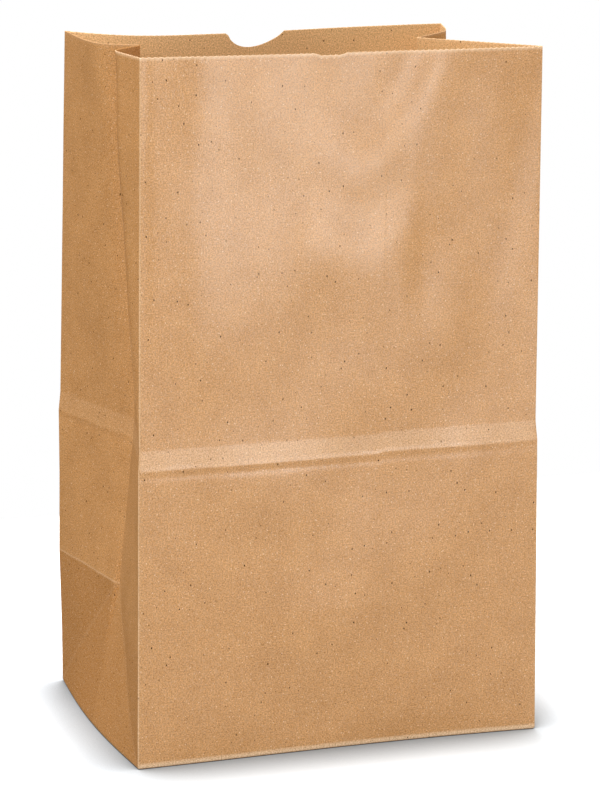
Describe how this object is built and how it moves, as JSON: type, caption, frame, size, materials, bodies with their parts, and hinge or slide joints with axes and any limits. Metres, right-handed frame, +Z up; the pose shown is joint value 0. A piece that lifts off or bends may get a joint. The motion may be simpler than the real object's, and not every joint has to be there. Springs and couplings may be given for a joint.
{
  "type": "paper lunch bag",
  "caption": "Open brown kraft paper lunch bag, folded and glued from a sheet, with a flat block bottom, tucked sides and a saw-toothed mouth with a thumb notch.",
  "frame": {"origin": "on the floor, under the middle of the block bottom", "axes": "+Z up towards the open mouth, -Y towards the front panel with the long seam, +X to the right of the front panel"},
  "size_m": [0.1561, 0.1087, 0.254],
  "materials": {
    "kraft_paper": "matte uncoated brown kraft with fine fibres and flecks"
  },
  "bodies": {
    "root": {"paper_bag": "kraft_paper"}
  },
  "joints": []
}
